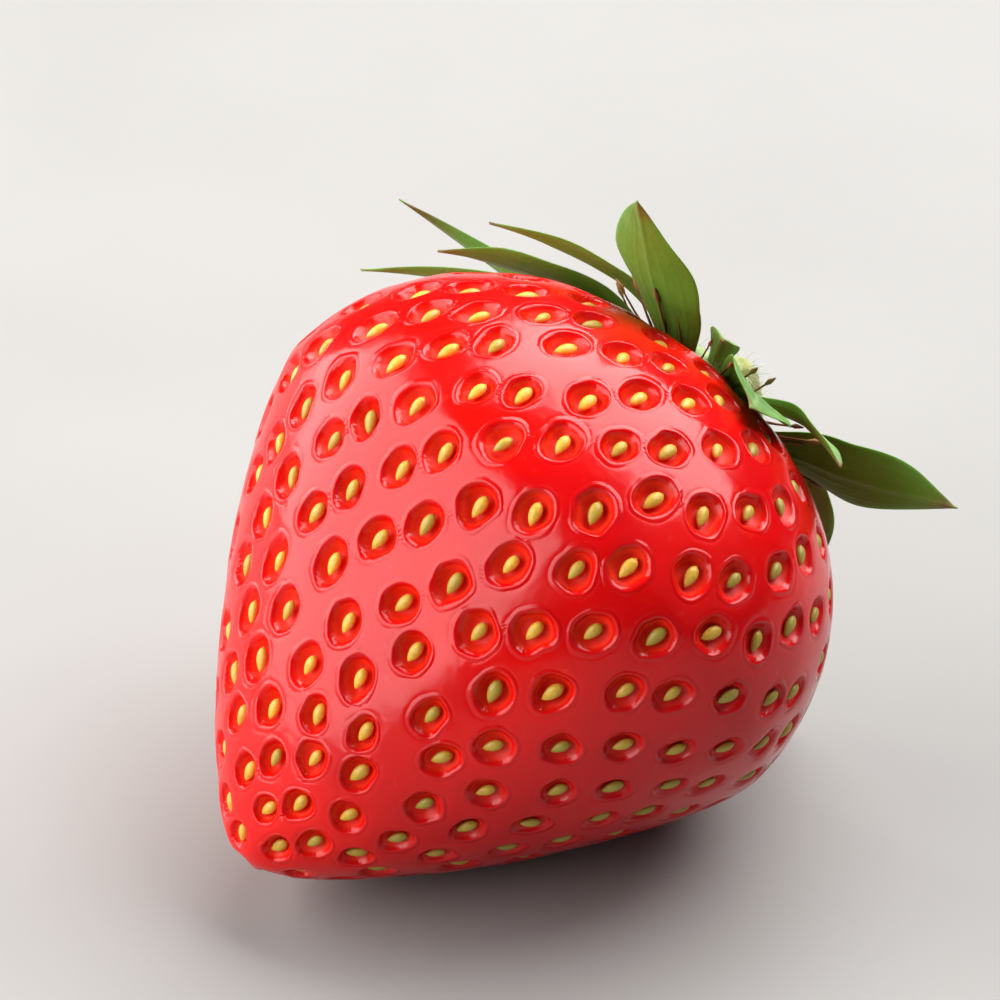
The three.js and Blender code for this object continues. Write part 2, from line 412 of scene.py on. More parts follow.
@dataclass(frozen=True)
class RipeSkin:
    """Ripe strawberry skin: a thin clear cuticle over red flesh.

    It is smooth and glossy, so soft windows of light lie whole on the swollen skin between the
    pits, and light that goes in comes out a little redder around it.
    """

    ripe: str = "#dd0b06"
    deep: str = "#c8070b"
    bright: str = "#f22a08"
    painted_shade_crimson: str = "#b40714"
    pale: str = "#e2593a"
    gloss: float = 0.15
    pit_dullness: float = 0.32
    lip_height: float = 0.1
    glow_depth: float = 1.4

    def material(self) -> Material:
        """Makes the skin's material.

        Returns:
            The material.
        """
        made = Finish("ripe_strawberry_skin")
        # A thin lip runs round each pit and catches a crescent of light on the side away from it.
        lip = made.share(Show((0.7, 1.06), mark="from_seed"), Show((1.28, 1.02), mark="from_seed"))
        waves, grain = made.source(Show(patch=1.6)), made.source(Show(patch=0.22))
        walls = made.share(Show((0.853, 0.733), self.pit_dullness, mark="from_seed"))
        shine = made.share(Show(patch=2.5, first=self.gloss, last=self.gloss + 0.08))
        layers = (
            (self.ripe, Show((0.35, 0.65), patch=9.0)),
            (self.bright, Show((0.933, 0.747), 0.8, mark="from_seed")),
            # Painted shade: the skin turns darker crimson on the lower side marked shade, away from the
            # main lights.
            (self.painted_shade_crimson, Show((0.0, 1.0), 0.65, mark="shade")),
            (self.pale, Show((0.62, 0.8), 0.18, patch=0.7, detail=3.0)),
            (self.pale, Show((0.0, 1.0), 0.55, mark="crown")),
        )
        inputs = {
            "Roughness": made.add("ShaderNodeMath", {0: walls, 1: shine}, operation="ADD"),
            "IOR": 1.38,
            "Subsurface Weight": 0.3,
            "Subsurface Radius": (1.0, 0.12, 0.06),
            "Subsurface Scale": self.glow_depth * MM,
        }
        heights = ((grain, 0.04, 0.06), (waves, 0.12, 0.35), (lip, self.lip_height, 1.0))
        return made.done(self.deep, layers, inputs, heights)


@dataclass(frozen=True)
class SeedHull:
    """The dry hull of a strawberry seed: thin, hard and a little shiny, golden to olive. The olive is
    partly random and partly painted shade on the berry's shaded side, and each seed's foot is
    darkened as painted shade.
    """

    golden: str = "#e8b63c"
    olive: str = "#958c33"
    edge: str = "#a8691c"

    def material(self) -> Material:
        """Makes the seeds' material.

        Returns:
            The material.
        """
        made = Finish("strawberry_seed_hull")
        layers = (
            # Olive follows tone, which is partly random and partly painted shade on the berry's shaded
            # side.
            (self.olive, Show((0.0, 1.0), mark="tone")),
            # Painted shade: the lower part of each seed, down in its pit, is darkened to the edge
            # colour.
            (self.edge, Show((0.5, 1.0), 0.8, mark="rim")),
            (self.edge, Show(last=0.35, patch=0.25)),
        )
        grain = (made.source(Show(patch=0.12)), 0.05, 0.3)
        return made.done(self.golden, layers, {"Roughness": 0.38, "IOR": 1.45}, [grain])


class LeafKind(Enum):
    """The two kinds of leaf in the calyx."""

    SEPAL = "sepal"
    BRACTLET = "bractlet"


@dataclass(frozen=True)
class CalyxLeaf:
    """A strawberry's calyx leaf: matte, with long pale veins, a duller underside and dry tips."""

    kind: LeafKind
    face: str
    shade: str
    vein: str
    under: str
    dry: str = "#6b4a22"

    def material(self) -> Material:
        """Makes the leaf's material.

        Returns:
            The material.
        """
        made = Finish(f"strawberry_{self.kind.value}_leaf")
        layers = (
            (self.face, Show(patch=2.2, detail=3.0)),
            (self.vein, Show((0.0, 0.3), 0.0, mark="along", first=0.55)),
            (self.vein, Show((0.2, 1.0), 0.42, mark="vein")),
            (self.under, Show((0.0, 1.0), 0.82, mark="under")),
            (self.dry, Show((0.86, 1.0), mark="along"), Show((0.3, 0.6), patch=1.5)),
        )
        veins, grain = made.source(Show(mark="vein")), made.source(Show(patch=0.35, detail=3.0))
        height = made.add("ShaderNodeMath", {0: veins, 1: grain}, operation="ADD")
        inputs = {
            "Roughness": 0.52,
            "IOR": 1.42,
            "Subsurface Weight": 0.15,
            "Subsurface Radius": (0.5, 1.0, 0.2),
            "Subsurface Scale": 0.3 * MM,
        }
        return made.done(self.shade, layers, inputs, [(height, 0.1, 0.5)])


@dataclass(frozen=True)
class StalkRind:
    """The rind of a strawberry stalk: pale green, finely grooved and downy, reddened by the sun."""

    name: str = "strawberry_stalk_rind"
    green: str = "#93ad55"
    pale: str = "#bcc98a"
    blush: str = "#a0522d"
    blush_share: float = 0.6
    cut: str = "#5d4a2a"

    def material(self) -> Material:
        """Makes the rind's material.

        Returns:
            The material.
        """
        made = Finish(self.name)
        layers = (
            (self.pale, Show((0.35, 0.65), patch=1.8, detail=3.0)),
            (self.blush, Show((0.45, 0.65), self.blush_share, patch=5.0)),
            (self.cut, Show((0.0, 1.0), mark="cut")),
        )
        inputs = {
            "Roughness": 0.55,
            "Subsurface Weight": 0.15,
            "Subsurface Radius": (0.6, 1.0, 0.3),
            "Subsurface Scale": 0.4 * MM,
        }
        grooves = (made.source(Show(patch=0.3, detail=3.0)), 0.08, 0.4)
        return made.done(self.green, layers, inputs, [grooves])


@dataclass(frozen=True)
class PlainFinish:
    """A finish of one slightly mottled colour, for hairs and dried stamens."""

    name: str
    colour: str
    other: str
    roughness: float

    def material(self) -> Material:
        """Makes the material."""
        made = Finish(self.name)
        return made.done(self.colour, [(self.other, Show())], {"Roughness": self.roughness})


@dataclass(frozen=True)
class PaleCard:
    """A broad sheet of matte pale card, even and warm grey, that melts into the backdrop far off.

    whole and gone are how far from the middle, in metres, it starts to fade and is no longer there.
    """

    colour: str = "#93918e"
    other: str = "#979592"
    whole: float = 0.25
    gone: float = 0.6

    def material(self) -> Material:
        """Makes the floor's material.

        Returns:
            The material.
        """
        made = Finish("matte_pale_card")
        far = made.add("ShaderNodeVectorMath", {0: made.place}, operation="LENGTH").outputs["Value"]
        fade = {0: far, 1: self.gone, 2: self.whole}
        there = made.add("ShaderNodeMapRange", fade, interpolation_type="SMOOTHSTEP")
        return made.done(
            self.colour, [(self.other, Show(patch=40.0))], {"Roughness": 0.7, "Alpha": there}
        )


# ---- the fruit's shape ---------------------------------------------------------------------------


@dataclass(frozen=True)
class BerryShape:
    """The fruit's outline, section and lie. Lengths are in mm."""

    half_width: float = 19.0
    length: float = 38.4
    widest_below_crown: float = 14.8
    crown_radius: float = 13.0
    crown_dip: float = 1.8
    crown_dip_radius: float = 8.5
    shoulder_drop: float = 7.7
    flank_bow: float = 1.21
    flank_closing: float = 1.22
    tip_rounding: float = 3.4
    section_height: float = 0.87
    rib_depth: float = 0.029
    rib_count: int = 3
    rib_turn: float = math.radians(21)

    def outline(self, shoulder_steps: int = 300, flank_steps: int = 500) -> np.ndarray:
        """The half outline from the crown to the tip.

        Args:
            shoulder_steps: steps down to the widest ring.
            flank_steps: steps from there to the tip.

        Returns:
            Rows of distance from the core and place along it.
        """
        widest = -self.widest_below_crown
        top, side = (self.crown_radius, 0), (self.half_width, -self.shoulder_drop)
        shoulder = bezier([(0, 0), top, side, (self.half_width, widest)], shoulder_steps)
        share = np.minimum(1, shoulder[:, 0] / self.crown_dip_radius)
        shoulder[:, 1] -= self.crown_dip * (1 - share * share) ** 2
        reach = self.half_width - self.tip_rounding
        depth = self.length - self.widest_below_crown - self.tip_rounding
        sweep = np.linspace(0, math.pi / 2, flank_steps + 1)[1:]
        down = np.sin(sweep) ** (2 / self.flank_bow)
        out = np.clip(np.cos(sweep), 0, 1) ** (2 / self.flank_closing)
        out[-1] = 0
        aside = self.flank_closing * out ** (self.flank_closing - 1) / reach
        below = -self.flank_bow * down ** (self.flank_bow - 1) / depth
        rounding = self.tip_rounding * unit(np.stack([aside, below], -1))
        flank = np.stack([reach * out, widest - depth * down], -1) + rounding
        return np.concatenate([shoulder, flank])

    def section(self, points: np.ndarray) -> np.ndarray:
        """Gives round sections their real shape: lower than wide, with soft lobes.

        Args:
            points: rows of X, Y, Z in the berry's own frame.

        Returns:
            The shaped points.
        """
        turn = np.arctan2(points[..., 2], points[..., 0])
        swell = 1 + self.rib_depth * np.cos(self.rib_count * (turn - self.rib_turn))
        shaped = points.copy()
        shaped[..., 0] *= swell
        shaped[..., 2] *= swell * self.section_height
        return shaped

    def tilt(self) -> float:
        """Works out how the berry balances on its flank.

        Returns:
            How far the core tips down towards the tip at rest, in radians.
        """
        line = self.outline()
        middle = (line[1:] + line[:-1]) / 2
        slices = middle[:, 0] ** 2 * (line[:-1, 1] - line[1:, 1])
        balance = (slices * middle[:, 1]).sum() / slices.sum()
        flank = line[(line[:, 1] < -self.shoulder_drop) & (line[:, 0] > self.half_width / 2)]
        reach = np.hypot(flank[:, 1] - balance, self.section_height * flank[:, 0])
        foot = flank[reach.argmin()]
        return math.atan2(balance - foot[1], self.section_height * foot[0])


class LaidBerry:
    """The berry's own frame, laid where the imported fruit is."""

    def __init__(self, shape: BerryShape) -> None:
        """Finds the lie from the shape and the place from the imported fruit's box.

        Args:
            shape: the fruit's outline and section.
        """
        self.shape = shape
        self.tilt = shape.tilt()
        self.line = shape.outline()
        self.shift = np.zeros(3)
        steps = np.linalg.norm(np.diff(self.line, axis=0), axis=1)
        self.run = np.concatenate([[0], np.cumsum(steps)])
        rings = steps * (self.line[1:, 0] + self.line[:-1, 0]) * math.pi
        self.area = np.concatenate([[0], np.cumsum(rings)])

        turn = np.radians(np.arange(361))
        skin = self.lay(self.skin_point(self.run[:, None], turn)).reshape(-1, 3)
        low, high = (np.array(corner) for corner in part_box("fruit"))
        across = (low + high - skin.min(0) - skin.max(0))[:2] / 2
        self.shift = np.array([*across, high[2] - skin.max(0)[2]])

    def lay(self, points: np.ndarray) -> np.ndarray:
        """Takes points from the berry's own frame, in mm, to their place in metres.

        Args:
            points: rows of X, Y, Z.

        Returns:
            The laid points.
        """
        cos, sin = math.cos(self.tilt), math.sin(self.tilt)
        x, y, z = np.moveaxis(points, -1, 0)
        return np.stack([x, y * cos - z * sin, y * sin + z * cos], -1) * MM + self.shift

    def turned(self, vectors: np.ndarray) -> np.ndarray:
        """Turns directions as lay turns points."""
        return unit(self.lay(vectors) - self.shift)

    def line_at(self, run: np.ndarray) -> np.ndarray:
        """The outline's distance from the core and place along it, at runs from the crown in mm."""
        return np.stack([np.interp(run, self.run, self.line[:, k]) for k in (0, 1)], -1)

    def skin_point(self, run: np.ndarray, turn: np.ndarray) -> np.ndarray:
        """Points of the smooth skin, in the berry's own frame.

        Args:
            run: how far along the outline from the crown, in mm.
            turn: the angle round the core from +X.

        Returns:
            Rows of X, Y, Z in mm.
        """
        radius, height = np.moveaxis(self.line_at(run), -1, 0)
        round_skin = np.broadcast_arrays(radius * np.cos(turn), height, radius * np.sin(turn))
        return self.shape.section(np.stack(round_skin, -1))

    def press(self, piece: Piece) -> Piece:
        """Flattens what lies below the table, as soft skin flattens under the berry's weight.

        Args:
            piece: the piece to press.

        Returns:
            The same piece.
        """
        places = np.empty(len(piece.data.vertices) * 3)
        piece.data.vertices.foreach_get("co", places)
        places[2::3] = np.maximum(places[2::3], 0)
        piece.data.vertices.foreach_set("co", places)
        piece.data.update()
        return piece


# ---- the fruit -----------------------------------------------------------------------------------


@dataclass
class Fruit:
    """The fruit: swollen skin with a seed in each pit. Lengths are in mm.

    Pit radii are shares of the distance between seeds. The bowl and the swell go from one share of
    a pit's radius to another. The lower side, away from the main lights, has smaller seeds in flatter
    pits, and its skin and seeds are darkened there as painted shade.
    probe and probe_turn are the short steps that tell which way the skin faces at a seed, and
    crowding is the power by which seeds shrink where they stand closer.
    """

    lie: LaidBerry
    cells: int = 126
    bare_crown: float = 6.5
    bare_tip: float = 0.2
    spacing: float = 3.75
    tip_spacing: float = 2.5
    tip_zone: float = 17.0
    packing: float = 0.9
    unevenness: float = 0.07
    yaw: float = 0.18
    size_spread: tuple[float, float] = (0.88, 1.08)
    depth_spread: tuple[float, float] = (0.85, 1.1)
    tone_spread: float = 0.7
    pit_share: float = 0.315
    neighbour_share: float = 0.39
    pit_depth: float = 0.8
    pit_stretch: float = 1.16
    bowl: tuple[float, float] = (0.44, 1.04)
    swell: float = 0.12
    swelling: tuple[float, float] = (0.8, 1.3)
    wander: float = 0.65
    wander_size: float = 1.7
    wave: float = 0.3
    wave_size: float = 7.0
    seed_length: float = 1.48
    seed_width: float = 0.76
    seed_height: float = 0.56
    seed_sink: float = 0.38
    seed_rings: int = 6
    seed_sides: int = 10
    seed_belly: float = 0.88
    seed_bluntness: float = 0.7
    seed_taper: float = 0.18
    seed_rim: tuple[float, float] = (-0.35, 0.3)
    probe: float = 0.05
    probe_turn: float = 0.01
    least_radius: float = 0.4
    crowding: float = 0.4
    shade_turn: float = math.radians(-44)
    shade_reach: tuple[float, float] = (2.0, 12.0)
    shade_flatter: float = 0.5
    shade_narrower: float = 0.2
    shade_smaller: float = 0.1
    painted_shade_tone: float = 0.8
    crown_paleness: tuple[float, float] = (5.0, 9.5)
    seed: int = 11
    places: Piece = field(init=False)

    def gap_at(self, run: np.ndarray) -> np.ndarray:
        """The distance between neighbouring seeds, in mm, at a run along the outline."""
        full = smoothstep(0, self.tip_zone, self.lie.run[-1] - run)
        return self.tip_spacing + (self.spacing - self.tip_spacing) * full

    def shade_at(self, points: np.ndarray) -> np.ndarray:
        """How far points of the berry's own frame lie on the lower side, towards the camera's lower
        right and away from the main lights, where painted shade darkens the skin and seeds.

        Args:
            points: rows of X, Y, Z in mm.

        Returns:
            0 to 1 for each.
        """
        x, _, z = np.moveaxis(points, -1, 0)
        side = np.cos(np.arctan2(z, x) - self.shade_turn)
        return smoothstep(0.0, 1.0, side) * smoothstep(*self.shade_reach, np.hypot(x, z))

    def plant(self) -> None:
        """Lays out the seeds in spirals from the crown to the tip, as a point cloud."""
        lie, chance = self.lie, np.random.default_rng(self.seed)
        middle = (lie.run[1:] + lie.run[:-1]) / 2
        inside = np.where(middle < self.bare_crown, 0, np.diff(lie.area))
        count = np.cumsum(inside / (self.packing * self.gap_at(middle) ** 2))
        count = np.concatenate([[0], count])
        numbers = np.arange(int(count[-1])) + 0.5
        run = np.interp(numbers, count, lie.run)
        gap = self.gap_at(run)
        radius = np.maximum(self.least_radius, lie.line_at(run)[:, 0])
        run = run + chance.normal(0, self.unevenness, len(numbers)) * gap
        run = np.clip(run, self.bare_crown, lie.run[-1] - self.bare_tip)
        turn = numbers * GOLDEN_TURN
        turn = turn + chance.normal(0, self.unevenness, len(numbers)) * gap / radius
        place = lie.skin_point(run, turn)
        down, aside = self.probe, self.probe_turn
        along = lie.turned(lie.skin_point(run + down, turn) - lie.skin_point(run - down, turn))
        across = lie.turned(lie.skin_point(run, turn + aside) - lie.skin_point(run, turn - aside))
        out = unit(np.cross(along, across))
        from_core = lie.turned(place + np.array([0, lie.shape.widest_below_crown, 0]))
        out *= np.sign((out * from_core).sum(-1, keepdims=True))
        yaw = chance.normal(0, self.yaw, len(numbers))[:, None]
        along = unit(along * np.cos(yaw) + np.cross(out, along) * np.sin(yaw))

        shade = self.shade_at(place)
        size = chance.uniform(*self.size_spread, len(numbers))
        size = size * (gap / self.spacing) ** self.crowding
        size *= 1 - self.shade_smaller * shade
        # No pit comes so near to its neighbour that their lips meet.
        apart = np.linalg.norm(place[:, None] - place[None], axis=-1)
        np.fill_diagonal(apart, np.inf)
        wide = gap * self.pit_share * (1 - self.shade_narrower * shade)
        deep = size * chance.uniform(*self.depth_spread, len(numbers))
        marks = {
            "place": lie.lay(place),
            "along": along,
            "across": np.cross(out, along),
            "out": out,
            "pit_radius": np.minimum(wide, self.neighbour_share * apart.min(1)) * MM,
            "size": size,
            "depth": deep * (1 - self.shade_flatter * shade),
            "shade": shade,
        }
        self.places = mesh_object("seed_places", lie.lay(place), marks=marks)

    def smooth_skin(self) -> Piece:
        """Makes the fruit without pits, as an even net of quads.

        Returns:
            A closed mesh object, with the attributes crown, near the stalk end, and shade, the side
            darkened as painted shade.
        """
        line = np.tan(np.linspace(-1, 1, self.cells + 1) * math.pi / 4)
        a, b = np.meshgrid(line, line, indexing="ij")
        one = np.ones_like(a)
        sides = [(one, a, b), (-one, b, a), (b, one, a), (a, -one, b), (a, b, one), (b, a, -one)]
        points = np.concatenate([np.stack(side, -1).reshape(-1, 3) for side in sides])
        grid = np.arange(a.size).reshape(a.shape)
        quad = [grid[:-1, :-1], grid[1:, :-1], grid[1:, 1:], grid[:-1, 1:]]
        quad = np.stack(quad, -1).reshape(-1, 4)
        quads = np.concatenate([quad + k * grid.size for k in range(len(sides))])
        millionths = np.round(points * 1e6).astype(int)
        _, first, same = np.unique(millionths, axis=0, return_index=True, return_inverse=True)
        points = unit(points[first])

        lie = self.lie
        run = np.interp((1 - points[:, 1]) / 2 * lie.area[-1], lie.area, lie.run)
        points = lie.skin_point(run, np.arctan2(points[:, 2], points[:, 0]))
        pale = 1 - smoothstep(*self.crown_paleness, run)
        marks = {"shade": self.shade_at(points), "crown": pale}
        return mesh_object("smooth_skin", lie.lay(points), same.reshape(-1)[quads], marks)

    def pit(self, material: Material) -> Piece:
        """Sinks a pit round every seed and swells the skin between them.

        Args:
            material: the skin's material.

        Returns:
            The skin as a plain mesh.
        """
        sizes = {
            "Seed Places": self.places,
            "Pit Depth": self.pit_depth * MM,
            "Pit Stretch": self.pit_stretch,
            "Bowl Floor": self.bowl[0],
            "Bowl Edge": self.bowl[1],
            "Swell": self.swell * MM,
            "Swell Foot": self.swelling[0],
            "Swell Top": self.swelling[1],
            "Wander": self.wander * MM,
            "Wander Scale": 1 / (self.wander_size * MM),
            "Wave": self.wave * MM,
            "Wave Scale": 1 / (self.wave_size * MM),
        }
        recipe = GrowRecipe(
            "pitted_skin", sizes, ("pit_radius", "depth"), ("place", "along", "across")
        )
        add, given = recipe.add, recipe.given
        seeds = add("GeometryNodeObjectInfo", {"Object": given["Seed Places"]}).outputs["Geometry"]
        nearest = add("GeometryNodeSampleNearest", {"Geometry": seeds}, domain="POINT")
        of_seed = {
            mark: add(
                "GeometryNodeSampleIndex",
                {"Geometry": seeds, "Value": read, "Index": nearest},
                data_type=read.data_type,
                domain="POINT",
            )
            for mark, read in recipe.marks.items()
        }
        here = add("GeometryNodeInputPosition")
        away = add("ShaderNodeVectorMath", {0: here, 1: of_seed["place"]}, operation="SUBTRACT")
        # No pit is quite round: a fine noise bends its edge.
        noise = {"Vector": here, "Scale": given["Wander Scale"], "Detail": 1.0}
        noise = add("ShaderNodeTexNoise", noise).outputs["Color"]
        noise = add("ShaderNodeVectorMath", {0: noise, 1: (0.5, 0.5, 0.5)}, operation="SUBTRACT")
        bend = add("ShaderNodeVectorMath", {0: noise, "Scale": given["Wander"]}, operation="SCALE")
        away = add("ShaderNodeVectorMath", {0: away, 1: bend}, operation="ADD")
        along, across = (
            add("ShaderNodeVectorMath", {0: away, 1: of_seed[way]}, operation="DOT_PRODUCT")
            for way in ("along", "across")
        )
        along = {0: along.outputs["Value"], 1: given["Pit Stretch"]}
        along = add("ShaderNodeMath", along, operation="DIVIDE")
        flat = add("ShaderNodeCombineXYZ", {0: along, 1: across.outputs["Value"]})
        far = add("ShaderNodeVectorMath", {0: flat}, operation="LENGTH").outputs["Value"]
        share = add("ShaderNodeMath", {0: far, 1: of_seed["pit_radius"]}, operation="DIVIDE")
        fall = {0: share, 1: given["Bowl Floor"], 2: given["Bowl Edge"], 3: 1.0, 4: 0.0}
        bowl = add("ShaderNodeMapRange", fall, interpolation_type="SMOOTHERSTEP")
        rise = {0: share, 1: given["Swell Foot"], 2: given["Swell Top"]}
        plump = add("ShaderNodeMapRange", rise, interpolation_type="SMOOTHSTEP")
        deep = {0: of_seed["depth"], 1: given["Pit Depth"]}
        deep = add("ShaderNodeMath", deep, operation="MULTIPLY")
        sunk = add("ShaderNodeMath", {0: bowl, 1: deep}, operation="MULTIPLY")
        raised = add("ShaderNodeMath", {0: plump, 1: given["Swell"]}, operation="MULTIPLY")
        lift = add("ShaderNodeMath", {0: raised, 1: sunk}, operation="SUBTRACT")
        wave = {"Vector": here, "Scale": given["Wave Scale"], "Detail": 1.0}
        wave = add("ShaderNodeTexNoise", wave)
        wave = add("ShaderNodeMath", {0: wave, 1: 0.5}, operation="SUBTRACT")
        lift = {0: wave, 1: given["Wave"], 2: lift}
        lift = add("ShaderNodeMath", lift, operation="MULTIPLY_ADD")
        push = {0: add("GeometryNodeInputNormal"), "Scale": lift}
        push = add("ShaderNodeVectorMath", push, operation="SCALE")
        moved = add("GeometryNodeSetPosition", {"Geometry": given["Geometry"], "Offset": push})
        noted = add(
            "GeometryNodeStoreNamedAttribute",
            {"Geometry": moved, "Name": "from_seed", "Value": share},
            data_type="FLOAT",
            domain="POINT",
        )
        return self.lie.press(recipe.grow(self.smooth_skin(), "fruit_skin", noted, material))

    def one_seed(self) -> Piece:
        """Makes one seed: a flattened drop, its point along +X.

        Returns:
            The seed, with the attribute rim round its foot.
        """
        share = np.linspace(0, 1, self.seed_rings + 2)[1:-1]
        width = np.sin(math.pi * share**self.seed_belly) ** self.seed_bluntness
        width = width * (1 - self.seed_taper * share)
        middle = np.outer(share - 0.5, (self.seed_length, 0, 0))
        axes = ((0, self.seed_width / 2, 0), (0, 0, self.seed_height / 2))
        rings = ring_points(middle, width / width.max(), axes, self.seed_sides)
        ends = np.outer((-0.5, 0.5), (self.seed_length, 0, 0))
        points = np.concatenate([rings, ends])
        faces = ring_faces(self.seed_rings, self.seed_sides, poles=True)
        # rim marks the lower part of the seed, which the finish darkens as painted shade.
        rim = 1 - smoothstep(*self.seed_rim, points[:, 2] / self.seed_height * 2)
        return mesh_object("one_seed", points * MM, faces, {"rim": rim})

    def sow(self, material: Material) -> Piece:
        """Sets a seed in every pit.

        Args:
            material: the seeds' material.

        Returns:
            All the seeds as one plain mesh.
        """
        one = self.one_seed()
        sizes = {
            "One Seed": one,
            "Seed Lift": -self.seed_sink * MM,
            "Tone Spread": self.tone_spread,
            "Painted Shade Tone": self.painted_shade_tone,
            "Chance": self.seed,
        }
        recipe = GrowRecipe("seeds_in_pits", sizes, ("depth", "size", "shade"), ("out", "along"))
        add, given, marks = recipe.add, recipe.given, recipe.marks
        lift = {0: given["Seed Lift"], 1: marks["depth"]}
        lift = add("ShaderNodeMath", lift, operation="MULTIPLY")
        push = add("ShaderNodeVectorMath", {0: marks["out"], "Scale": lift}, operation="SCALE")
        sunk = add("GeometryNodeSetPosition", {"Geometry": given["Geometry"], "Offset": push})
        turn = add("FunctionNodeAlignRotationToVector", {"Vector": marks["out"]}, axis="Z")
        turn = {"Rotation": turn, "Vector": marks["along"]}
        turn = add("FunctionNodeAlignRotationToVector", turn, axis="X", pivot_axis="Z")
        shape = add("GeometryNodeObjectInfo", {"Object": given["One Seed"]}).outputs["Geometry"]
        spots = add("GeometryNodeMeshToPoints", {"Mesh": sunk})
        placed = {"Points": spots, "Instance": shape, "Rotation": turn, "Scale": marks["size"]}
        placed = add("GeometryNodeInstanceOnPoints", placed)
        # Each seed's tone is partly random and partly painted shade, leaning to olive on the shaded
        # side.
        tone = {3: given["Tone Spread"], "Seed": given["Chance"]}
        tone = add("FunctionNodeRandomValue", tone, data_type="FLOAT").outputs[1]
        tone = {0: marks["shade"], 1: given["Painted Shade Tone"], 2: tone}
        tone = add("ShaderNodeMath", tone, operation="MULTIPLY_ADD")
        noted = add(
            "GeometryNodeStoreNamedAttribute",
            {"Geometry": placed, "Name": "tone", "Value": tone},
            data_type="FLOAT",
            domain="INSTANCE",
        )
        seeds = recipe.grow(self.places, "seeds", noted, material)
        bpy.data.objects.remove(one)
        return self.lie.press(seeds)

    def build(self) -> list[Piece]:
        """Makes the skin and its seeds.

        Returns:
            The two pieces.
        """
        self.plant()
        skin = seat(self.pit(RipeSkin().material()), "fruit")
        return [skin, seat(self.sow(SeedHull().material()))]


# ---- the calyx -----------------------------------------------------------------------------------


@dataclass(frozen=True)
class LeafPlan:
    """How one calyx leaf differs from the plain one of its kind.

    turn, sweep and roll are degrees, length and width are over the plain ones, and rise is the
    height of the tip above the shoulder in mm.
    """

    turn: float
    length: float
    width: float
    rise: float
    sweep: float
    roll: float


SEPAL_PLANS = (
    LeafPlan(-25, 0.57, 1.08, 7.2, 12, -34),
    LeafPlan(36, 0.58, 0.9, 0.8, 4, -6),
    LeafPlan(94, 0.66, 1.16, 7.2, -8, 0),
    LeafPlan(147, 0.8, 0.86, 2.0, 2, -6),
    LeafPlan(202, 0.9, 0.92, 9.6, -34, 8),
    LeafPlan(270, 1.0, 0.94, 4.6, 6, -8),
)
BRACTLET_PLANS = (
    LeafPlan(10, 0.66, 0.9, 1.2, 4, 8),
    LeafPlan(63, 0.38, 0.75, 0.3, -5, 0),
    LeafPlan(126, 0.82, 0.88, 1.4, 3, 8),
    LeafPlan(174, 1.24, 0.84, 3.0, -12, -6),
    LeafPlan(228, 1.1, 1.05, 4.2, -4, 10),
    LeafPlan(304, 0.6, 0.95, 1.0, -12, -8),
)


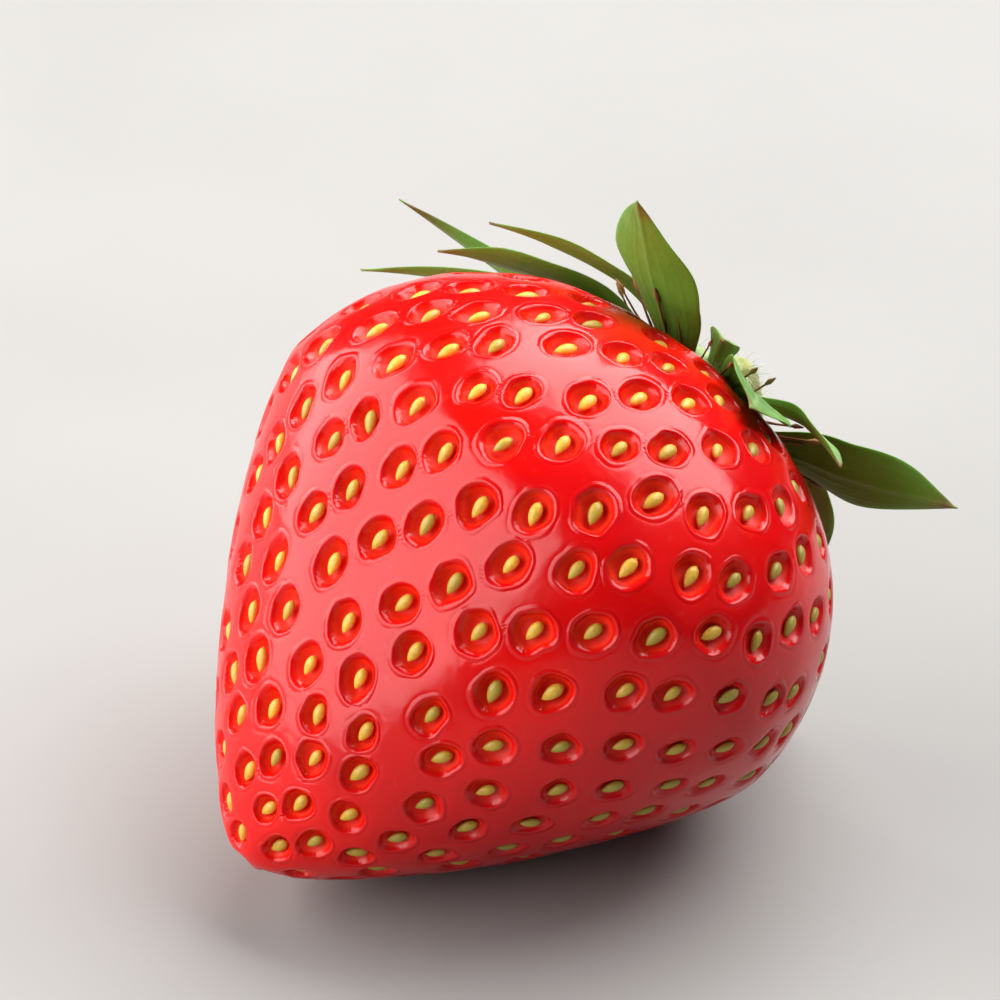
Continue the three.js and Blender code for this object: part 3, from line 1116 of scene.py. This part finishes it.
@dataclass
class CalyxLeaves:
    """One kind of calyx leaf, all round the collar. Lengths are in mm."""

    lie: LaidBerry
    finish: CalyxLeaf
    plans: tuple[LeafPlan, ...]
    length: float
    width: float
    root_width: float
    layer: float
    clearance: float = 0.3
    thickness: float = 0.45
    fullness: float = 0.42
    thinning: float = 0.55
    belly: float = 1.08
    point_width: float = 0.12
    point_spread: float = 0.28
    point_from: float = 0.9
    camber: float = 0.16
    edge_wave: float = 0.16
    wave_counts: tuple[float, float] = (9, 13)
    wave_starts: tuple[float, float] = (0, 6)
    edge_power: float = 2.5
    thinnest: float = 0.02
    groove_depth: float = 0.1
    groove_width: float = 0.28
    groove_fading: float = 0.6
    vein_paleness: float = 0.6
    midrib_width: float = 0.22
    ridge_height: float = 0.018
    ridge_share: float = 0.16
    collar_radius: float = 4.0
    tucked: float = 0.9
    probe: float = 0.3
    seeds_apart: int = 100
    steps: int = 60
    slices: int = 24
    veins: int = 3

    def width_at(self, share: np.ndarray, width: float) -> np.ndarray:
        """Finds how wide the blade is.

        Args:
            share: shares of its length from root to tip.
            width: its greatest width in mm.

        Returns:
            The width at each share, in mm.
        """
        blade = np.sin(math.pi * share**self.belly)
        root = self.root_width * (1 - share) ** 2
        point = self.point_width + self.point_spread * smoothstep(1.0, self.point_from, share)
        return np.maximum(point, root + (width - root / 2) * blade)

    def leaf(self, number: int, plan: LeafPlan, material: Material) -> Piece:
        """Makes one leaf: a thin closed blade that follows the shoulder and lifts off to its tip.

        Args:
            number: its number, as in the node's name.
            plan: how it differs from the plain one.
            material: the leaf's material.

        Returns:
            The leaf as a plain mesh.
        """
        lie, shape = self.lie, self.lie.shape
        kind = self.finish.kind.value
        chance = np.random.default_rng(self.seeds_apart * number + len(kind))
        length = self.length * plan.length
        clear = self.clearance + self.thickness / 2 + self.layer
        # 1.54 is the steepest slope of the crown's dip where it is 1 deep and 1 in radius.
        slope = 1.54 * shape.crown_dip / shape.crown_dip_radius
        start = self.collar_radius + self.clearance + (clear + self.thickness / 2) * slope

        share = np.linspace(-self.tucked / length, 1, self.steps + 1)[:, None]
        side = np.linspace(-1, 1, self.slices + 1)[None, :]
        run = start + share * length
        foot = lie.line_at(run)
        heading = unit(lie.line_at(run + self.probe) - lie.line_at(run - self.probe))
        outward = np.stack([-heading[..., 1], heading[..., 0]], -1)
        inner = np.clip(share, 0, 1)
        roll = math.radians(plan.roll) * inner
        half = self.width_at(inner, self.width * plan.width) / 2

        # The edges wave a little, more towards the tip, and each leaf waves in its own way.
        count, begin = chance.uniform(*self.wave_counts), chance.uniform(*self.wave_starts)
        wave = np.sin(inner * count + begin)
        wave = self.edge_wave * inner * wave * side
        bend = self.camber * half * side**2 + wave * np.abs(side) * half / 2
        groove = np.exp(-((side * half / self.groove_width) ** 2))
        groove = groove * (1 - inner * self.groove_fading)
        lines = np.abs(side) * self.veins
        vein = np.exp(-(((lines - np.round(lines)) / self.ridge_share) ** 2)) * (1 - inner**3)
        midrib = np.exp(-((side * half / self.midrib_width) ** 2))
        rim = np.sqrt(np.clip(1 - np.abs(side) ** self.edge_power, self.thinnest, 1))
        thick = self.thickness * self.fullness * rim * (1 - self.thinning * inner)
        relief = bend - self.groove_depth * groove + self.ridge_height * vein
        turn = math.radians(plan.turn) + math.radians(plan.sweep) * inner**2
        sheets = []
        for up in (relief + thick, relief - thick):
            lift = clear + plan.rise * inner**2 + up * np.cos(roll) - half * side * np.sin(roll)
            aside = half * side * np.cos(roll) + up * np.sin(roll)
            radius, height = (foot[..., k] + outward[..., k] * lift for k in (0, 1))
            x = radius * np.cos(turn) - aside * np.sin(turn)
            z = radius * np.sin(turn) + aside * np.cos(turn)
            sheets.append(shape.section(np.stack([x, height, z], -1)).reshape(-1, 3))

        grid = np.arange(share.size * side.size).reshape(share.size, side.size)
        top = [grid[:-1, :-1], grid[:-1, 1:], grid[1:, 1:], grid[1:, :-1]]
        top = np.stack(top, -1).reshape(-1, 4)
        edge = np.concatenate([grid[:, 0], grid[-1, 1:], grid[-2::-1, -1], grid[0, -2:0:-1]])
        after = np.roll(edge, -1)
        border = np.stack([edge, after, after + grid.size, edge + grid.size], -1)
        faces = np.concatenate([top, top[:, ::-1] + grid.size, border])
        name = f"{kind}_{number}"
        marks = {
            "along": np.tile(np.broadcast_to(inner, grid.shape).ravel(), 2),
            "vein": np.tile(np.maximum(vein * self.vein_paleness, midrib).ravel(), 2),
            "under": np.repeat([0.0, 1.0], grid.size),
        }
        points = lie.lay(np.concatenate(sheets))
        made = mesh_object(f"{name}_leaf", points, faces, marks, material)
        return seat(made, name)

    def build(self) -> list[Piece]:
        """Makes every leaf of this kind."""
        material = self.finish.material()
        return [self.leaf(number, plan, material) for number, plan in enumerate(self.plans, 1)]


@dataclass
class Collar:
    """The collar: a low ring that the leaves leave from, round the foot of the stalk. In mm.

    bulges gives the swellings round its edge: each one's share of the radius, count and turn. They
    grow over the distances from the core in bulging.
    """

    lie: LaidBerry
    radius: float = 4.0
    under_radius: float = 2.0
    height: float = 2.1
    well_radius: float = 2.3
    well_floor: float = 0.9
    clearance: float = 0.3
    bulges: tuple = ((0.035, 12, 0.6), (0.012, 29, 0.0))
    bulging: tuple[float, float] = (1.5, 4.0)
    floor_share: float = 0.75
    floor_curb: float = 0.25
    sides: int = 144
    roundings: int = 3

    @property
    def foot(self) -> float:
        """The height of its underside.

        Returns:
            Its place along the core in the berry's own frame, in mm.
        """
        shape = self.lie.shape
        share = self.under_radius / shape.crown_dip_radius
        return self.clearance - shape.crown_dip * (1 - share * share) ** 2

    def build(self, material: Material) -> Piece:
        """Makes the collar.

        Args:
            material: its material.

        Returns:
            The collar as a plain mesh.
        """
        foot, top = self.foot, self.foot + self.height
        floor = foot + self.well_floor
        corners = [
            (0, foot),
            (self.under_radius, foot),
            (self.radius, foot + self.height / 3),
            (self.radius, top - self.height / 6),
            ((self.radius + self.well_radius) / 2, top),
            (self.well_radius, top - self.height / 4),
            (self.well_radius * self.floor_share, floor + self.floor_curb),
            (0, floor),
        ]
        # Cutting a quarter off the corners again and again gives the soft roll of grown tissue.
        line, long, short = np.array(corners), 0.75, 0.25
        for _ in range(self.roundings):
            near = line[:-1] * long + line[1:] * short
            far = line[:-1] * short + line[1:] * long
            inside = np.stack([near, far], 1).reshape(-1, 2)[1:-1]
            line = np.concatenate([line[:1], inside, line[-1:]])
        turn = np.arange(self.sides) / self.sides * FULL_TURN
        radius, height = line[1:-1, :1], line[1:-1, 1:]
        bulge = sum(high * np.cos(count * turn + start) for high, count, start in self.bulges)
        radius = radius * (1 + bulge * smoothstep(*self.bulging, radius))
        rings = np.broadcast_arrays(radius * np.cos(turn), height, radius * np.sin(turn))
        ends = [[0, line[0, 1], 0], [0, line[-1, 1], 0]]
        points = np.concatenate([np.stack(rings, -1).reshape(-1, 3), ends])
        points = self.lie.lay(self.lie.shape.section(points))
        faces = ring_faces(len(line) - 2, self.sides, poles=True)
        marks = {"cut": np.zeros(len(points))}
        made = mesh_object("calyx_collar_flesh", points, faces, marks, material)
        return seat(made, "calyx_collar")


@dataclass
class Stalk:
    """The stalk: it stands in the collar's well, bends over and ends in a square cut. In mm.

    crests are the heights of the curve's middle corners over the rise. grooves gives the ridges
    along the stalk: each one's share of the radius, count and twist. cut gives the rings of the cut
    face, from its firm rim over a sunken ring of dried pith to a small hollow: each one's share of
    the radius, how deep it lies, and how brown it is.
    """

    lie: LaidBerry
    collar: Collar
    radius: float = 0.95
    rise: float = 2.2
    crests: tuple[float, float] = (1.4, 1.2)
    reach: float = 10.0
    lean: float = math.radians(246)
    grooves: tuple = ((0.03, 7, 0), (0.015, 16, 5))
    body: float = 0.95
    foot_swelling: float = 0.14
    foot_length: float = 0.16
    waist: float = 0.05
    waist_reach: tuple[float, float] = (0.2, 0.7)
    cut: tuple = ((0.86, 0.0, 0.5), (0.7, -0.12, 1.0), (0.4, -0.16, 0.8), (0.16, -0.32, 1.0))
    rim_browning: float = 0.25
    steps: int = 90
    sides: int = 48

    def path(self) -> np.ndarray:
        """Finds the stalk's middle line.

        Returns:
            Points in the berry's own frame, one row for each step.
        """
        foot = self.collar.foot + self.collar.well_floor + self.collar.clearance
        first, second, last = (foot + share * self.rise for share in (*self.crests, 1))
        corners = [(0, foot), (0, first), (self.reach / 3, second), (self.reach, last)]
        cos, sin = math.cos(self.lean), math.sin(self.lean)
        return bezier([(r * cos, h, r * sin) for r, h in corners], self.steps)

    def build(self, material: Material) -> Piece:
        """Makes the stalk.

        Args:
            material: its material.

        Returns:
            The stalk as a plain mesh.
        """
        path = self.path()
        heading = unit(np.gradient(path, axis=0))
        side = unit(np.cross([math.cos(self.lean), 0.0, math.sin(self.lean)], [0.0, 1.0, 0.0]))
        other = np.cross(heading, side)
        share = np.linspace(0, 1, len(path))[:, None]
        turn = (np.arange(self.sides) / self.sides * FULL_TURN)[None, :]
        ridges = sum(h * np.cos(count * turn + twist * share) for h, count, twist in self.grooves)
        swollen = self.foot_swelling * smoothstep(self.foot_length, 0.0, share)
        swollen = swollen - self.waist * smoothstep(*self.waist_reach, share)
        radius = (self.radius * (self.body + swollen + ridges))[..., None]
        ring = np.cos(turn)[..., None] * side + np.sin(turn)[..., None] * other[:, None]
        tube = path[:, None] + radius * ring
        end = [path[-1] + heading[-1] * deep + (tube[-1] - path[-1]) * r for r, deep, _ in self.cut]
        rows = np.concatenate([tube, np.stack(end)])
        faces = ring_faces(len(rows), self.sides)
        brown = np.zeros(len(rows))
        brown[len(path) - 1 :] = [self.rim_browning, *(tone for *_, tone in self.cut)]
        marks = {"cut": np.repeat(brown, self.sides)}
        points = self.lie.lay(rows.reshape(-1, 3))
        return seat(mesh_object("stalk_rind", points, faces, marks, material), "stalk")


@dataclass
class Down:
    """Fine hairs on the green parts. Lengths are in mm.

    bow gives a hair's rings, from its root: how far along it each is, how far aside and how thick.
    """

    length: float = 0.9
    thickness: float = 0.035
    bow: tuple = ((0.0, 0.0, 1.0), (0.5, 0.06, 0.7), (1.0, 0.25, 0.15))
    sides: int = 3
    tilt: float = 0.6
    sizes: tuple[float, float] = (0.5, 1.1)
    seed: int = 5

    def one_hair(self) -> Piece:
        """Makes one bent hair, pointing along +Z.

        Returns:
            The hair.
        """
        up, aside, thick = np.array(self.bow).T
        middle = np.stack([aside, 0 * up, up], -1) * self.length
        thick = thick * self.thickness / 2
        points = ring_points(middle, thick, ((1, 0, 0), (0, 1, 0)), self.sides)
        return mesh_object("one_hair", points * MM, ring_faces(len(middle), self.sides))

    def cover(
        self, grown: Piece, name: str, per_mm2: float, slot: str, material: Material
    ) -> Piece:
        """Covers a piece with hairs.

        Args:
            grown: the piece that the hairs stand on.
            name: the new piece's name.
            per_mm2: how many hairs on each square millimetre.
            slot: not used.
            material: the hairs' material.

        Returns:
            The hairs as one plain mesh.
        """
        one = self.one_hair()
        base = bpy.data.objects.new(f"{name}_base", grown.data.copy())
        bpy.context.scene.collection.objects.link(base)
        sizes = {
            "One Hair": one,
            "Density": per_mm2 / MM**2,
            "Lean Back": -self.tilt,
            "Lean Ahead": self.tilt,
            "Shortest": self.sizes[0],
            "Longest": self.sizes[1],
            "Chance": self.seed,
        }
        recipe = GrowRecipe(name, sizes)
        add, given = recipe.add, recipe.given
        spots = {"Mesh": given["Geometry"], "Seed": given["Chance"]}
        spots["Density"] = given["Density"]
        spots = add("GeometryNodeDistributePointsOnFaces", spots)
        lean = {0: given["Lean Back"], 1: given["Lean Ahead"], "Seed": given["Chance"]}
        lean = add("FunctionNodeRandomValue", lean, data_type="FLOAT_VECTOR")
        out = {0: spots.outputs["Normal"], 1: lean}
        out = add("ShaderNodeVectorMath", out, operation="ADD")
        turn = add("FunctionNodeAlignRotationToVector", {"Vector": out}, axis="Z")
        shape = add("GeometryNodeObjectInfo", {"Object": given["One Hair"]}).outputs["Geometry"]
        size = {2: given["Shortest"], 3: given["Longest"], "Seed": given["Chance"]}
        size = add("FunctionNodeRandomValue", size, data_type="FLOAT").outputs[1]
        placed = {"Points": spots, "Instance": shape, "Rotation": turn, "Scale": size}
        placed = add("GeometryNodeInstanceOnPoints", placed)
        hairs = recipe.grow(base, name, placed, material)
        bpy.data.objects.remove(one)
        return seat(hairs)


@dataclass
class Stamens:
    """The ring of dried stamens left between the calyx and the fruit. Lengths are in mm.

    bow gives a stamen's rings, from its root: how far out each is, how far up and how thick.
    """

    lie: LaidBerry
    count: int = 26
    ring: float = 5.6
    length: float = 3.4
    thickness: float = 0.2
    lift: float = 0.55
    turn_spread: float = 0.3
    ring_spread: tuple[float, float] = (-0.6, 0.4)
    probe: float = 0.1
    straying: float = 0.1
    bow: tuple = (
        (0.0, 0.0, 1.0),
        (0.35, 0.04, 0.7),
        (0.7, 0.1, 0.6),
        (0.82, 0.13, 1.6),
        (1.0, 0.15, 0.5),
    )
    sides: int = 5
    sizes: tuple[float, float] = (0.7, 1.15)
    seed: int = 3

    def one_stamen(self) -> Piece:
        """Makes one dried stamen along +X: a bent thread with a shrivelled head.

        Returns:
            The stamen.
        """
        out, up, thick = np.array(self.bow).T
        middle = np.stack([out, 0 * out, up], -1) * self.length
        thick = thick * self.thickness / 2
        points = ring_points(middle, thick, ((0, 1, 0), (0, 0, 1)), self.sides)
        return mesh_object("one_stamen", points * MM, ring_faces(len(middle), self.sides))

    def build(self, material: Material) -> Piece:
        """Sets the stamens round the collar.

        Args:
            material: their material.

        Returns:
            All of them as one plain mesh.
        """
        lie, chance = self.lie, np.random.default_rng(self.seed)
        astray = chance.uniform(-self.turn_spread, self.turn_spread, self.count)
        turn = np.arange(self.count) + astray
        turn = turn / self.count * FULL_TURN
        run = self.ring + chance.uniform(*self.ring_spread, self.count)
        place = lie.skin_point(run, turn)
        along = lie.turned(lie.skin_point(run + self.probe, turn) - place)
        marks = {
            "along": along + self.straying * chance.normal(size=along.shape),
            "out": np.repeat(lie.turned(np.array([[0.0, 1.0, 0.0]])), self.count, 0),
        }
        place = lie.lay(place + np.array([0, self.lift, 0]))
        base = mesh_object("stamen_places", place, marks=marks)
        one = self.one_stamen()
        sizes = {
            "One Stamen": one,
            "Shortest": self.sizes[0],
            "Longest": self.sizes[1],
            "Chance": self.seed,
        }
        recipe = GrowRecipe("ring_of_stamens", sizes, vectors=("out", "along"))
        add, given, marks = recipe.add, recipe.given, recipe.marks
        turned = add("FunctionNodeAlignRotationToVector", {"Vector": marks["out"]}, axis="Z")
        turned = {"Rotation": turned, "Vector": marks["along"]}
        turned = add("FunctionNodeAlignRotationToVector", turned, axis="X")
        size = {2: given["Shortest"], 3: given["Longest"], "Seed": given["Chance"]}
        size = add("FunctionNodeRandomValue", size, data_type="FLOAT").outputs[1]
        shape = add("GeometryNodeObjectInfo", {"Object": given["One Stamen"]}).outputs["Geometry"]
        spots = add("GeometryNodeMeshToPoints", {"Mesh": given["Geometry"]})
        placed = {"Points": spots, "Instance": shape, "Rotation": turned, "Scale": size}
        placed = add("GeometryNodeInstanceOnPoints", placed)
        stamens = recipe.grow(base, "dried_stamens", placed, material)
        bpy.data.objects.remove(one)
        return seat(stamens)


# ---- the studio ----------------------------------------------------------------------------------


def aim(
    thing: Piece, target: np.ndarray, azimuth: float, elevation: float, distance: float
) -> None:
    """Stands a camera or a light off from a target and turns it to face it.

    Args:
        thing: the camera or light.
        target: the point it faces.
        azimuth: degrees round the target; 0 looks along +Y and 90 along -X.
        elevation: degrees above the horizon.
        distance: how far off, in metres.
    """
    a, e = math.radians(azimuth), math.radians(elevation)
    back = np.array([math.sin(a) * math.cos(e), -math.cos(a) * math.cos(e), math.sin(e)])
    thing.location = target + back * distance
    across = unit(np.cross([0.0, 0.0, 1.0], back))
    rows = np.stack([across, np.cross(back, across), back], 1)
    thing.rotation_mode = "QUATERNION"
    thing.rotation_quaternion = Matrix(rows.tolist()).to_quaternion()


@dataclass(frozen=True)
class SoftBox:
    """A soft rectangular light that faces the berry. Distances are in metres, turns in degrees."""

    name: str
    azimuth: float
    elevation: float
    distance: float
    size: tuple[float, float]
    power: float
    colour: str = "#ffffff"

    def place(self, target: np.ndarray) -> None:
        """Adds the light and turns it to the target.

        Args:
            target: the point it faces.
        """
        light = bpy.data.lights.new(self.name, "AREA")
        light.shape = "RECTANGLE"
        light.size, light.size_y = self.size
        light.energy = self.power
        light.color = linear(self.colour)[:3]
        lamp = bpy.data.objects.new(self.name, light)
        lamp.visible_camera = False
        bpy.context.scene.collection.objects.link(lamp)
        aim(lamp, target, self.azimuth, self.elevation, self.distance)


@dataclass(frozen=True)
class Studio:
    """A pale floor, soft lights and the camera. Distances are in metres, turns in degrees.

    The room glows a little on the berry, and more where it is seen behind it.
    """

    azimuth: float = 52.0
    elevation: float = 30.0
    distance: float = 0.45
    lens: float = 285.0
    nearest: float = 0.01
    floor_half: float = 1.2
    room: str = "#eef1f5"
    room_glow: float = 0.045
    backdrop: float = 0.75
    boxes: tuple[SoftBox, ...] = (
        SoftBox("left_softbox", -37.0, 26.0, 0.42, (1.0, 0.4), 6.2),
        SoftBox("back_softbox", 190.0, 56.0, 0.5, (0.64, 0.42), 6.6),
        SoftBox("right_fill", 112.0, 38.0, 0.8, (0.9, 0.9), 0.45, "#e6dcff"),
    )

    def build(self) -> None:
        """Sets up the floor, the lights, the world and the camera."""
        scene = bpy.context.scene
        target = np.mean(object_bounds(), axis=0)
        corners = np.array([(-1, -1, 0), (1, -1, 0), (1, 1, 0), (-1, 1, 0)])
        card = PaleCard().material()
        mesh_object("floor", corners * self.floor_half, [[0, 1, 2, 3]], None, card)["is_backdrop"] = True
        for box in self.boxes:
            box.place(target)
        scene.world = bpy.data.worlds.new("soft_room")
        scene.world.use_nodes = True
        tree = scene.world.node_tree
        seen = add_node(tree, "ShaderNodeLightPath").outputs["Is Camera Ray"]
        glow = {0: seen, 3: self.room_glow, 4: self.backdrop}
        glow = add_node(tree, "ShaderNodeMapRange", glow).outputs[0]
        room = tree.nodes["Background"]
        room.inputs["Color"].default_value = linear(self.room)
        tree.links.new(glow, room.inputs["Strength"])
        data = bpy.data.cameras.new("camera")
        data.lens, data.clip_start = self.lens, self.nearest
        camera = bpy.data.objects.new("camera", data)
        scene.collection.objects.link(camera)
        aim(camera, target, self.azimuth, self.elevation, self.distance)
        scene.camera = camera
        scene.view_settings.view_transform = "Standard"


def main() -> None:
    """Builds the berry from the fruit outwards, then the studio round it."""
    logging.basicConfig(level=logging.INFO, format="%(message)s")
    lie = LaidBerry(BerryShape())
    log.info("%d nodes; core tips %.1f degrees", len(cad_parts), math.degrees(lie.tilt))
    sepal = CalyxLeaf(LeafKind.SEPAL, "#6f9a48", "#4b7a2c", "#a5bd7c", "#547d1a")
    bractlet = CalyxLeaf(LeafKind.BRACTLET, "#7ba35a", "#5a8840", "#b4c791", "#648c2a")
    sepals = CalyxLeaves(
        lie, sepal, SEPAL_PLANS, length=16.0, width=5.8, root_width=3.0, layer=0.0
    )
    bractlets = CalyxLeaves(
        lie, bractlet, BRACTLET_PLANS, length=13.0, width=2.8, root_width=1.4, layer=1.15
    )
    green = StalkRind("strawberry_collar_flesh", "#8fa860", "#b8c48a", "#7a5a30", 0.35)
    hair = PlainFinish("plant_down", "#dfe6c4", "#f2f4e2", 0.5).material()
    dry = PlainFinish("dried_stamen", "#6d4520", "#8f6a36", 0.7).material()
    pieces = Fruit(lie).build() + sepals.build() + bractlets.build()
    collar, down = Collar(lie), Down()
    flesh = collar.build(green.material())
    stalk = Stalk(lie, collar).build(StalkRind().material())
    pieces += [
        flesh,
        stalk,
        down.cover(stalk, "stalk_down", 3.0, "stalk", hair),
        down.cover(flesh, "collar_down", 2.5, "collar", hair),
        Stamens(lie).build(dry),
    ]
    for piece in pieces:
        log.info("%s: %d faces", piece.name, len(piece.data.polygons))
    Studio().build()


if __name__ == "__main__":
    main()
